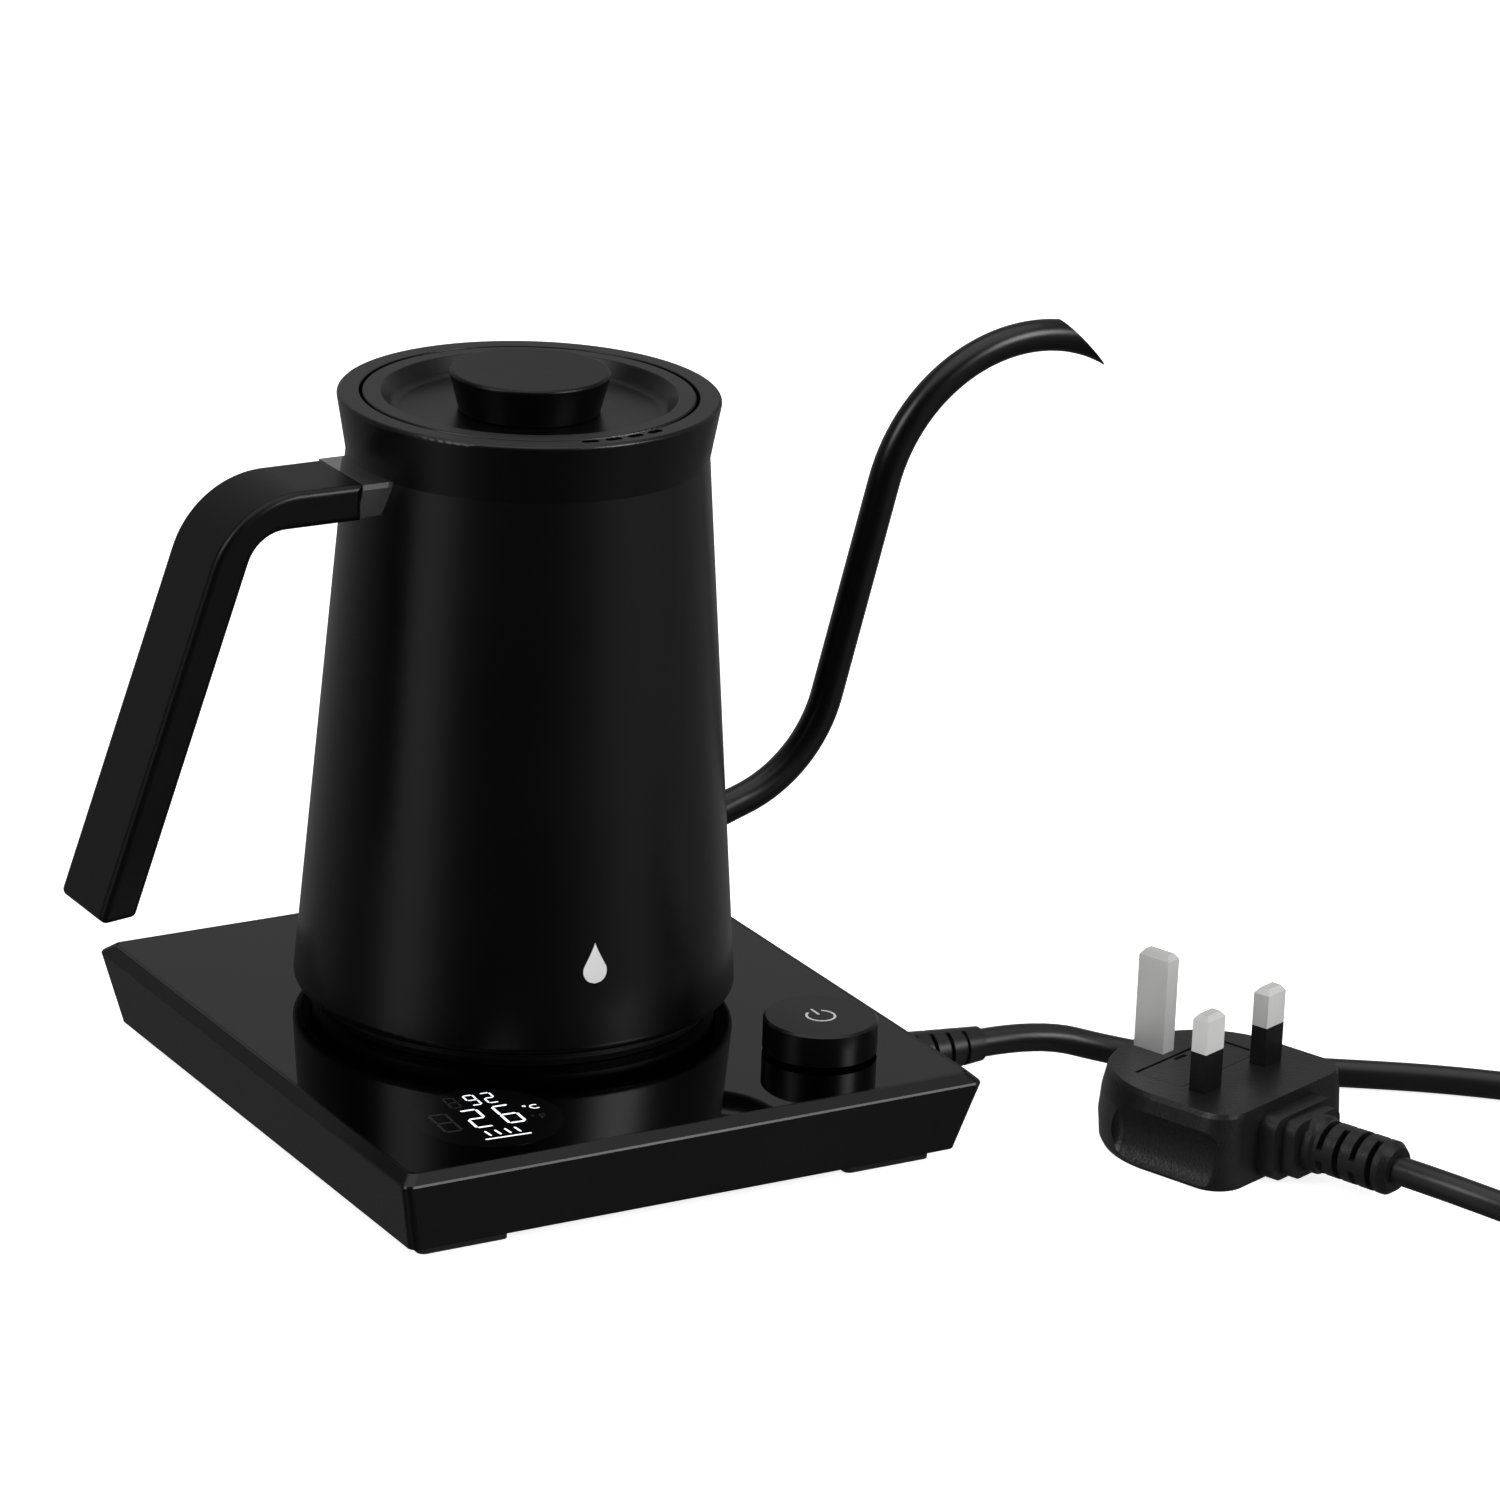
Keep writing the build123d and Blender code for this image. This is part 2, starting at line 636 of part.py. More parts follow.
# ---- lid ----
def lid_dish():
    """The lid's top: a flat flange, a sloping dish and a skirt down the collar's bore."""
    hole, skirt, inside = 2.2, LID_SKIRT_R, LID_SKIRT_R - 1.0
    points = [
        (hole, DISH_FLOOR_Z), (DISH_FLOOR_R, DISH_FLOOR_Z), (DISH_R, RIM_Z), (LID_R, RIM_Z),
        (LID_R, RIM_Z - 1.4), (skirt, RIM_Z - 1.4), (skirt, LID_BOTTOM), (inside, LID_BOTTOM),
        (inside, RIM_Z - 1.6), (DISH_R - 0.4, RIM_Z - 1.6), (DISH_FLOOR_R + 0.4, DISH_FLOOR_Z - 1.2),
        (hole, DISH_FLOOR_Z - 1.2),
    ]
    return lathe(points, round_at=((1, 2.4), (2, 0.5), (3, 0.4)))


def lid_base_plate():
    """The disc that closes the lid's underside."""
    plate = rod(0, JUG_Y, LID_BOTTOM - 1.2, LID_BOTTOM, LID_SKIRT_R)
    return plate + ring(0, JUG_Y, LID_BOTTOM, LID_BOTTOM + 3.0, LID_SKIRT_R - 1.15, LID_SKIRT_R - 2.2)


def lid_seal():
    """Soft ring on the skirt with two ribs that brush the collar's bore."""
    inner, land, rib = LID_SKIRT_R, LID_SKIRT_R + 0.8, LID_SKIRT_R + 1.55
    points = [
        (inner, 149.0), (land, 149.0), (rib, 150.0), (land, 151.0), (land, 152.0), (rib, 152.7),
        (land, 153.4), (inner, 153.4),
    ]
    return lathe(points)


def lid_knob():
    points = [
        (0, DISH_FLOOR_Z), (KNOB_R_LOW, DISH_FLOOR_Z), (KNOB_R_TOP, KNOB_TOP), (0, KNOB_TOP),
    ]
    knob = lathe(points, round_at=((1, 0.5), (2, 0.7)))
    return knob - rod(0, JUG_Y, 0, DISH_FLOOR_Z + 7.0, 2.05)


def lid_knob_screw():
    return pan_screw(0, JUG_Y, 152.0, 8.0, r=2.0, head_r=4.0, head_h=2.0)


# ---- mains lead ----
U = Vector(cos(radians(PLUG_TURN)), sin(radians(PLUG_TURN)), 0)     # from the live pin to the neutral
V = Vector(sin(radians(PLUG_TURN)), -cos(radians(PLUG_TURN)), 0)    # from the earth pin to the cord
PLUG_PLACE = Plane(origin=(PLUG_X, PLUG_Y, 0), x_dir=U, z_dir=(0, 0, 1))


def by_plug(u, v, z):
    """A point given along the plug's own directions from its earth pin."""
    spot = Vector(PLUG_X, PLUG_Y, z) + U * u + V * v
    return (spot.X, spot.Y, z)


def gland_hole():
    return level_rod(BASE_W / 2 - 12, BASE_W / 2 + 2, GLAND_Y, GLAND_Z, GROMMET_R + 0.1)


def cord_grommet():
    """Tapered strain relief with a flange inside the wall."""
    wall, end = BASE_W / 2, BASE_W / 2 + GLAND_OUT
    flange, collar, tip = 4.9, 5.6, CORD_D / 2 + 0.7
    points = [
        (0, wall - 8.0), (flange, wall - 8.0), (flange, wall - 6.2), (GROMMET_R, wall - 6.2),
        (GROMMET_R, wall - 0.5), (collar, wall - 0.5), (collar, wall + 1.5), (tip, end), (0, end),
    ]
    body = revolve(Plane.XZ * make_face(Polyline(*points, close=True)), Axis.Z)
    for step in range(4):
        at = Pos(0, 0, wall + 4.5 + step * 4.2)
        body -= at * (Cylinder(9, 1.1) - Cylinder(CORD_D / 2 + 0.35, 1.1) - Box(20, 2.2, 3))
    return Pos(0, GLAND_Y, GLAND_Z) * Rot(0, 90, 0) * body


LEAD_ROUTE = [
    (BASE_W / 2 + GLAND_OUT, GLAND_Y, GLAND_Z), (BASE_W / 2 + GLAND_OUT + 16.0, GLAND_Y, GLAND_Z),
    by_plug(15.3, -22.9, 6.0), by_plug(26.6, -8.6, 3.6), by_plug(37.5, 6.0, 3.3), by_plug(49.0, 20.5, 3.3),
    by_plug(60.5, 36.5, 3.3), by_plug(70.5, 55.0, 3.3), by_plug(77.8, 75.5, 3.6), by_plug(83.3, 95.0, 5.6),
    by_plug(87.1, 112.1, 10.0),
]


def cord_tube(points, name):
    """Straight runs joined by arcs as large as the runs allow, and a printed check of both."""
    corners = [Vector(*p) for p in points]
    radii = []
    for before, here, after in zip(corners, corners[1:], corners[2:]):
        turn = radians((here - before).get_angle(after - here))
        shorter = min((here - before).length, (after - here).length)
        radii.append(0.45 * shorter / tan(turn / 2))
    path = FilletPolyline(*corners, radius=radii)
    section = Plane(origin=path @ 0, z_dir=path % 0) * Circle(CORD_D / 2)
    tube = sweep(section.face(), path=path)
    expected = pi * CORD_D ** 2 / 4 * path.length
    print(name, "radii", [round(r, 1) for r in radii], "length", round(path.length, 1))
    print(name, "volume over section times length", round(tube.volume / expected, 4))
    return tube


def cord_lead():
    return cord_tube(LEAD_ROUTE, "cord_lead")


TAIL_ROUTE = [
    by_plug(0.0, 66.0, 8.2), by_plug(0.0, 76.0, 8.2), by_plug(1.4, 88.0, 7.4), by_plug(4.6, 100.5, 5.6),
    by_plug(8.4, 113.5, 4.2), by_plug(11.8, 127.0, 4.0),
]


def cord_tail():
    return cord_tube(TAIL_ROUTE, "cord_tail")


def cord_coil():
    """The outer shape of the turns that lie beside and on each other."""
    x, y, _ = by_plug(COIL_U, COIL_V, 0)
    coil = ring(x, y, COIL_LIFT, COIL_LIFT + 2 * CORD_D, COIL_TURN_R + CORD_D, COIL_TURN_R - CORD_D)
    return fillet(coil.edges().filter_by(GeomType.CIRCLE), 2.4)


def cord_tie():
    """A strap right round the coil's turns, on the side away from the plug."""
    x, y, _ = by_plug(COIL_U, COIL_V + COIL_TURN_R, 0)
    thick, width = COIL_LIFT - 0.1, 7.0
    deep, high = 2 * CORD_D + 0.9, 2 * CORD_D + 0.2
    middle = Pos(0, 0, COIL_LIFT + CORD_D)
    tie = middle * (Box(width, deep + 2 * thick, high + 2 * thick) - Box(width + 1, deep, high))
    return Pos(x, y, 0) * Rot(0, 0, PLUG_TURN) * tie


# ---- plug, lying on its back with its pins up ----
PLUG_CORD_Z = 8.2
LINE_PIN_V = 22.2
LINE_PIN_U = 11.1
CARRIER = (-14.0, 14.0, 6.2, 17.8)    # fuse carrier: least and most u, then v
CARRIER_DEPTH = 8.6
FUSE_R, FUSE_L = 3.15, 25.4
FUSE_Z = PLUG_T - 5.0
PIN_DEPTH = 7.0           # of the pins inside the plug
SLEEVE_H = 9.0            # of the insulating sleeves above the pin face
SLEEVE_T = 0.4


def plug_outline(grow):
    """The flat outline of the plug's body: half round at the earth end, square at the cord end."""
    half = PLUG_HALF + grow
    crown_y = -PLUG_CROWN_V
    low = -PLUG_END
    left = Line((-half, crown_y), (-half, low + PLUG_CORNER))
    left_corner = RadiusArc(left @ 1, (-half + PLUG_CORNER, low), -PLUG_CORNER)
    end = Line(left_corner @ 1, (half - PLUG_CORNER, low))
    right_corner = RadiusArc(end @ 1, (half, low + PLUG_CORNER), -PLUG_CORNER)
    right = Line(right_corner @ 1, (half, crown_y))
    crown = ThreePointArc(right @ 1, (0, crown_y + half), left @ 0)
    return make_face([line.edge() for line in (left, left_corner, end, right_corner, right, crown)])


def pin_block(u, v, wide_u, wide_v, z0, z1):
    return block(u - wide_u / 2, u + wide_u / 2, -v - wide_v / 2, -v + wide_v / 2, z0, z1)


def plug_body():
    layers = [(0.7, 0.0), (1.4, 1.2), (1.9, 6.5), (1.4, 12.0), (0.4, PLUG_T - 1.0), (-0.4, PLUG_T)]
    body = loft([Pos(0, 0, z) * plug_outline(grow) for grow, z in layers], ruled=True)
    for side in (-1, 1):
        scoop = Pos(side * (PLUG_HALF + 7.5), -PLUG_CROWN_V - 4.6, 7.2) * Rot(90, 0, 0) * Cylinder(9.0, 32.0)
        body -= fillet(scoop.edges(), 4.0)
    u0, u1, v0, v1 = CARRIER
    gap = 0.45
    body -= block(u0 - gap, u1 + gap, -v1 - gap, -v0 + gap, PLUG_T - CARRIER_DEPTH - gap, PLUG_T + 1)
    for u, v, wide_u, wide_v, _ in PINS:
        body -= pin_block(u, v, wide_u, wide_v, PLUG_T - PIN_DEPTH, PLUG_T + 1)
    body += collar_steps()
    cord_hole = Plane.XZ.offset(30.0) * Pos(0, PLUG_CORD_Z) * Circle(3.4)
    return PLUG_PLACE.location * (body - extrude(cord_hole, 20))


def collar_steps():
    """Two rounded steps between the body and the strain relief."""
    steps = None
    for half, low, high, v0, v1 in ((11.0, 0.8, 15.2, 36.0, 41.3), (8.4, 1.4, 14.4, 41.3, 44.6)):
        face = Plane.XZ.offset(v0) * Pos(0, (low + high) / 2) * RectangleRounded(2 * half, high - low, 3.0)
        step = extrude(face, v1 - v0)
        steps = step if steps is None else steps + step
    return steps


PINS = (
    (0.0, 0.0, 3.97, 7.95, 22.73),
    (-LINE_PIN_U, LINE_PIN_V, 6.35, 3.97, 17.7),
    (LINE_PIN_U, LINE_PIN_V, 6.35, 3.97, 17.7),
)


def plug_pin(index):
    """A flat pin with a bevelled end, cut back where an insulating sleeve goes round it."""
    u, v, wide_u, wide_v, height = PINS[index]
    pin = pin_block(u, v, wide_u, wide_v, PLUG_T - PIN_DEPTH, PLUG_T + height)
    pin = chamfer(pin.faces().sort_by(Axis.Z)[-1].edges(), 1.2, 0.9)
    if index:
        pin -= sleeve(index)
    return PLUG_PLACE.location * pin


def sleeve(index):
    u, v, wide_u, wide_v, _ = PINS[index]
    low, high = PLUG_T - 1.0, PLUG_T + SLEEVE_H
    core = pin_block(u, v, wide_u - 2 * SLEEVE_T, wide_v - 2 * SLEEVE_T, low - 1, high + 1)
    return pin_block(u, v, wide_u, wide_v, low, high) - core


def pin_sleeves():
    """The insulating sleeves on the roots of the live and neutral pins."""
    return group(PLUG_PLACE.location * sleeve(index) for index in (1, 2))


def plug_strain_relief():
    """Slotted flexible sleeve between the plug and the cord."""
    start, end = 44.6, 66.0
    points = [
        (0, start), (6.5, start), (6.5, start + 2.2), (5.9, start + 3.0), (6.0, end - 1.6), (4.8, end),
        (0, end),
    ]
    body = revolve(Plane.XZ * make_face(Polyline(*points, close=True)), Axis.Z)
    for step in range(4):
        at = start + 4.6 + 4.3 * step
        cut = Cylinder(8, 1.5) - Cylinder(CORD_D / 2 + 0.5, 1.5)
        bridge = Rot(0, 0, 90 * (step % 2)) * Box(20, 2.6, 4)
        body -= Pos(0, 0, at) * (cut - bridge)
    body = Pos(0, 0, PLUG_CORD_Z) * Rot(90, 0, 0) * body
    return PLUG_PLACE.location * body


def fuse_carrier():
    """A tray open below, flush with the pin face, which lifts out with the fuse."""
    u0, u1, v0, v1 = CARRIER
    middle = (v0 + v1) / 2
    room = FUSE_R + 0.1
    low = PLUG_T - CARRIER_DEPTH
    carrier = block(u0, u1, -v1, -v0, low, PLUG_T - 0.2)
    carrier -= level_rod(-FUSE_L / 2, FUSE_L / 2, -middle, FUSE_Z, room)
    carrier -= block(-FUSE_L / 2, FUSE_L / 2, -middle - room, -middle + room, low - 1, FUSE_Z)
    carrier -= block(-2.0, 2.0, -v0 - 1.6, -v0 - 0.6, PLUG_T - 0.8, PLUG_T + 1)
    return PLUG_PLACE.location * carrier


def fuse():
    """A cartridge fuse with slightly thicker end caps."""
    middle = (CARRIER[2] + CARRIER[3]) / 2
    body = level_rod(-FUSE_L / 2, FUSE_L / 2, -middle, FUSE_Z, FUSE_R - 0.15)
    for side in (-1, 1):
        ends = sorted((side * FUSE_L / 2, side * (FUSE_L / 2 - 6.0)))
        body += level_rod(*ends, -middle, FUSE_Z, FUSE_R)
    return PLUG_PLACE.location * body


# ---- wires inside the base ----
JACKET_END_X = 50.5
WIRE_R = 1.1


def cord_clamp():
    """A saddle that holds the lead's jacket up against two posts."""
    low = 7.0
    bar = block(CLAMP_X - 3.5, CLAMP_X + 3.5, GLAND_Y - 9, GLAND_Y + 9, low, GLAND_Z - 0.1)
    bar -= level_rod(CLAMP_X - 9, CLAMP_X + 9, GLAND_Y, GLAND_Z, JACKET_R)
    for x, y in CLAMP_POSTS:
        bar -= rod(x, y, 0, 30, SCREW_HOLE_R)
    return bar


def clamp_screws():
    return group(pan_screw(x, y, 6.2, 7.0, head_r=2.2) for x, y in CLAMP_POSTS)


def mains_wires():
    """The lead's jacket inside the base, and the live and neutral wires on to the power board."""
    parts = [level_rod(JACKET_END_X, BASE_W / 2 - 8.0, GLAND_Y, GLAND_Z, JACKET_R)]
    z = 9.6
    for shift in (0.0, 2.6):
        y = GLAND_Y - 1.3 + shift
        corner_x, far_y = 34.0 - shift, 41.0 - shift
        points = [(JACKET_END_X, y, GLAND_Z), (corner_x, y, z), (corner_x, far_y, z), (-30.0, far_y, z)]
        path = FilletPolyline(*points, radius=6.0)
        section = Plane(origin=path @ 0, z_dir=path % 0) * Circle(WIRE_R)
        parts.append(sweep(section.face(), path=path))
    return group(parts)


NODES = {
    "base_housing": base_housing,
    "glass_top": glass_top,
    "base_bottom_cover": base_bottom_cover,
    "rubber_feet": rubber_feet,
    "base_cover_screws": base_cover_screws,
    "base_connector": base_connector,
    "base_contacts": base_contacts,
    "power_board": lambda: circuit_board(*POWER_BOARD, BOARD_Z),
    "control_board": lambda: circuit_board(*CONTROL_BOARD, BOARD_Z),
    "transformer": transformer,
    "relay": relay,
    "capacitors": capacitors,
    "triac_heat_sink": triac_heat_sink,
    "buzzer": buzzer,
    "control_chip": control_chip,
    "display_module": display_module,
    "display_window": display_window,
    "encoder_body": encoder_body,
    "encoder_nut": encoder_nut,
    "encoder_plunger": encoder_plunger,
    "encoder_shaft": encoder_shaft,
    "control_knob": control_knob,
    "cord_grommet": cord_grommet,
    "cord_clamp": cord_clamp,
    "clamp_screws": clamp_screws,
    "mains_wires": mains_wires,
    "connector_hub": connector_hub,
    "hub_contacts": hub_contacts,
    "jug_body": jug_body,
    "rim_collar": rim_collar,
    "floor_plate": floor_plate,
    "heat_spreader": heat_spreader,
    "heating_element": heating_element,
    "temperature_sensor": temperature_sensor,
    "thermal_cutout": thermal_cutout,
    "cover_studs": cover_studs,
    "jug_bottom_cover": jug_bottom_cover,
    "jug_cover_screws": jug_cover_screws,
    "spout_tube": spout_tube,
    "spout_strainer": spout_strainer,
    "handle_bracket": handle_bracket,
    "handle_grip": handle_grip,
    "handle_screws": handle_screws,
    "lid_dish": lid_dish,
    "lid_base_plate": lid_base_plate,
    "lid_seal": lid_seal,
    "lid_knob": lid_knob,
    "lid_knob_screw": lid_knob_screw,
    "cord_lead": cord_lead,
    "cord_coil": cord_coil,
    "cord_tie": cord_tie,
    "cord_tail": cord_tail,
    "plug_body": plug_body,
    "plug_strain_relief": plug_strain_relief,
    "plug_earth_pin": lambda: plug_pin(0),
    "plug_live_pin": lambda: plug_pin(1),
    "plug_neutral_pin": lambda: plug_pin(2),
    "pin_sleeves": pin_sleeves,
    "fuse_carrier": fuse_carrier,
    "fuse": fuse,
}

for name, make in NODES.items():
    export_step(Pos(-MIDDLE_X, 0, 0) * group([make()]), f"parts/{name}.step")
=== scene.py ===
"""Looks of the electric gooseneck kettle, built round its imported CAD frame.

Metres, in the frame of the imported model. MM turns millimetres into metres.
"""
from math import cos, pi, radians, sin, sqrt

import bmesh
import bpy
from mathutils import Matrix, Vector


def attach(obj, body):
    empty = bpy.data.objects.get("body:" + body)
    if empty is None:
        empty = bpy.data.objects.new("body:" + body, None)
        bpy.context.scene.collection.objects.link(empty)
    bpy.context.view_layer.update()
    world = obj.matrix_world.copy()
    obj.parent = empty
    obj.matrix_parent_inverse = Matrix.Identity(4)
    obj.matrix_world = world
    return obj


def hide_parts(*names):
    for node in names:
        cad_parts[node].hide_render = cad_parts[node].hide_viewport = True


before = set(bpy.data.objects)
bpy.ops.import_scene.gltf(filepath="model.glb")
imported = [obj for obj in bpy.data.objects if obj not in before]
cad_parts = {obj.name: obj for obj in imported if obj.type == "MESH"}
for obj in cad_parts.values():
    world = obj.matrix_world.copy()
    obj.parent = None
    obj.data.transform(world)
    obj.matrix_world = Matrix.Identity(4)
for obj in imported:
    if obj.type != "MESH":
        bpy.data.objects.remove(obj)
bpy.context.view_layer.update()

MM = 0.001
MIDDLE_X = 21.5           # the design's own X is measured from the base's middle
GLASS_TOP = 21.2
DISPLAY = (-38.7 - MIDDLE_X, -52.5)
DISPLAY_R = 16.0
DIAL = (44.3 - MIDDLE_X, -48.7)
DIAL_TOP = 29.3
JUG = (-MIDDLE_X, 9.2)
JUG_LOW, JUG_LOW_R = 25.3, 48.65
JUG_NECK, JUG_NECK_R = 146.0, 39.15
PLUG = (117.2 - MIDDLE_X, -70.0)
PLUG_TURN = radians(19.9)
CORD_D = 6.4
COIL = (50.0, 122.0)      # coil's centre in the plug's directions
COIL_INNER, COIL_OUTER = 32.8, 39.3
COIL_LOW, COIL_HIGH = 4.0, 10.4


# ---- camera ----
CAMERA_TURNS = (-30.549, 19.088, 2.228)     # round the object, up, and about its own axis, in degrees
CAMERA_AIM = (0.059374, 0.051858, 0.054767)
CAMERA_DISTANCE = 1.514155
CAMERA_LENS = 157.902
CAMERA_SHIFT = (0.00624, -0.00536)


def set_camera():
    """A long lens from the front left, a little above the lid, turned slightly about its own axis."""
    turn, tilt, roll = (radians(angle) for angle in CAMERA_TURNS)
    back = Vector((sin(turn) * cos(tilt), -cos(turn) * cos(tilt), sin(tilt)))
    level = (-back).cross(Vector((0, 0, 1))).normalized()
    above = level.cross(-back)
    right = level * cos(roll) + above * sin(roll)
    up = above * cos(roll) - level * sin(roll)
    place = Vector(CAMERA_AIM) + back * CAMERA_DISTANCE
    data = bpy.data.cameras.new("camera")
    data.sensor_width = 36.0
    data.lens = CAMERA_LENS
    data.shift_x, data.shift_y = CAMERA_SHIFT
    data.clip_end = 40.0
    camera = bpy.data.objects.new("camera", data)
    camera.matrix_world = Matrix.Translation(place) @ Matrix((right, up, back)).transposed().to_4x4()
    bpy.context.scene.collection.objects.link(camera)
    bpy.context.scene.camera = camera
    toward = Vector((back.x, back.y, 0)).normalized()
    return toward, level


TOWARD, ASIDE = set_camera()


# ---- node helpers ----
def add(tree, kind, inputs=None, **settings):
    """One shader node with its settings and with values or links on its inputs."""
    made = tree.nodes.new("ShaderNode" + kind)
    for name, value in settings.items():
        setattr(made, name, value)
    for name, value in (inputs or {}).items():
        if isinstance(value, bpy.types.NodeSocket):
            tree.links.new(value, made.inputs[name])
        else:
            made.inputs[name].default_value = value
    return made


def math(tree, operation, *values):
    return add(tree, "Math", dict(enumerate(values)), operation=operation).outputs[0]


def ramp(tree, factor, stops):
    """A colour ramp from (position, grey or colour) pairs."""
    made = add(tree, "ValToRGB", {0: factor})
    elements = made.color_ramp.elements
    while len(elements) < len(stops):
        elements.new(0.5)
    for element, (position, value) in zip(elements, stops):
        element.position = position
        shade = value if isinstance(value, tuple) else (value, value, value)
        element.color = (*shade, 1.0)
    return made.outputs[0]


# ---- soft studio light ----
ROUND_LIGHT = (                             # turn from the camera in degrees, brightness
    (-180, 0.27), (-140, 0.24), (-112, 0.16), (-92, 0.05), (-72, 0.06), (-64, 0.55), (-50, 0.5),
    (-38, 0.08), (-22, 0.01), (22, 0.01), (42, 0.08), (62, 0.26), (84, 0.26), (104, 0.18),
    (128, 0.18), (150, 0.26), (180, 0.27))
LAMPS = ((62, 30, 9.0), (-57, 38, 4.0))     # turn and height in degrees, strength


def studio():
    """A pale room with tall soft boxes and two round lamps at the sides, a top light and a dark front."""
    world = bpy.data.worlds.new("studio")
    bpy.context.scene.world = world
    world.use_nodes = True
    tree = world.node_tree
    tree.nodes.clear()
    way = add(tree, "TexCoord").outputs["Generated"]
    side = add(tree, "VectorMath", {0: way, 1: ASIDE}, operation="DOT_PRODUCT").outputs["Value"]
    front = add(tree, "VectorMath", {0: way, 1: TOWARD}, operation="DOT_PRODUCT").outputs["Value"]
    turn = math(tree, "ARCTAN2", side, front)
    share = math(tree, "ADD", math(tree, "DIVIDE", turn, 2 * pi), 0.5)
    around = ramp(tree, share, [((degrees + 180) / 360, value) for degrees, value in ROUND_LIGHT])
    height = add(tree, "SeparateXYZ", {0: way}).outputs["Z"]
    level = math(tree, "ADD", math(tree, "MULTIPLY", height, 0.5), 0.5)
    fade = ramp(tree, level, [(0.0, 0.15), (0.3, 0.55), (0.42, 1.0), (0.75, 1.0), (0.9, 0.5)])
    top = ramp(tree, level, [(0.88, 0.0), (0.95, 1.0), (1.0, 1.1)])
    light = math(tree, "ADD", math(tree, "MULTIPLY", around, fade), top)
    for turned, raised, strength in LAMPS:
        a, b = radians(turned), radians(raised)
        aim = (TOWARD * cos(a) + ASIDE * sin(a)) * cos(b) + Vector((0, 0, sin(b)))
        near = add(tree, "VectorMath", {0: way, 1: aim}, operation="DOT_PRODUCT").outputs["Value"]
        disc = ramp(tree, near, [(0.97, 0.0), (0.985, 1.0)])
        light = math(tree, "ADD", light, math(tree, "MULTIPLY", disc, strength))
    room = add(tree, "Background", {"Color": light, "Strength": 1.0})
    pale = add(tree, "Background", {"Color": (1, 1, 1, 1), "Strength": 1.0})
    seen = add(tree, "LightPath").outputs["Is Camera Ray"]
    both = add(tree, "MixShader", {0: seen, 1: room.outputs[0], 2: pale.outputs[0]})
    add(tree, "OutputWorld", {"Surface": both.outputs[0]})
    bpy.context.scene.view_settings.view_transform = "Standard"


studio()


# ---- finishes ----
def relief(tree, place, pattern, size):
    """The height of a surface pattern, whose marks are about size metres across."""
    if pattern == "leather":
        cells = add(tree, "TexVoronoi", {"Vector": place, "Scale": 1 / size}, feature="SMOOTH_F1")
        fine = add(tree, "TexNoise", {"Vector": place, "Scale": 2.2 / size, "Detail": 3.0})
        return math(tree, "ADD", cells.outputs["Distance"], math(tree, "MULTIPLY", fine.outputs[0], 0.5))
    detail = 2.0 if pattern == "rings" else 4.0
    return add(tree, "TexNoise", {"Vector": place, "Scale": 1 / size, "Detail": detail}).outputs[0]


def finish(name, colour, rough, metal=0.0, pattern="grain", size=0.0006, depth=0.00002, spread=0.05,
           tint=0.12, stretch=(1, 1, 1), axis=None, glow=0.0, specular=0.5):
    """A material with a fine relief, and slow changes of shade and gloss over the surface.

    axis is the (x, y) of an upright axis, in millimetres, round which the marks of a lathe run.
    """
    made = bpy.data.materials.new(name)
    made.use_nodes = True
    tree = made.node_tree
    shader = tree.nodes["Principled BSDF"]
    place = add(tree, "TexCoord").outputs["Object"]
    fine = add(tree, "Mapping", {"Vector": place, "Scale": stretch}).outputs[0]
    if axis:
        out = add(tree, "VectorMath", {0: place, 1: (axis[0] * MM, axis[1] * MM, 0)}, operation="SUBTRACT")
        flat = add(tree, "VectorMath", {0: out.outputs[0], 1: (1, 1, 0)}, operation="MULTIPLY")
        radius = add(tree, "VectorMath", {0: flat.outputs[0]}, operation="LENGTH").outputs["Value"]
        height = add(tree, "SeparateXYZ", {0: place}).outputs["Z"]
        fine = add(tree, "CombineXYZ", {"X": radius, "Z": height}).outputs[0]
    slow = add(tree, "TexNoise", {"Vector": place, "Scale": 22.0, "Detail": 3.0}).outputs[0]
    dark = tuple(c * (1 - tint) for c in colour)
    light = tuple(c * (1 + tint) for c in colour)
    shade = ramp(tree, slow, [(0.3, dark), (0.7, light)])
    gloss = add(tree, "MapRange", {0: slow, 1: 0.3, 2: 0.7, 3: rough - spread, 4: rough + spread})
    bump = add(tree, "Bump", {"Height": relief(tree, fine, pattern, size), "Distance": depth})
    bump.inputs["Strength"].default_value = 1.0
    tree.links.new(shade, shader.inputs["Base Color"])
    tree.links.new(gloss.outputs[0], shader.inputs["Roughness"])
    tree.links.new(bump.outputs[0], shader.inputs["Normal"])
    shader.inputs["Metallic"].default_value = metal
    shader.inputs["Specular IOR Level"].default_value = specular
    if glow:
        tree.links.new(shade, shader.inputs["Emission Color"])
        shader.inputs["Emission Strength"].default_value = glow
    return made


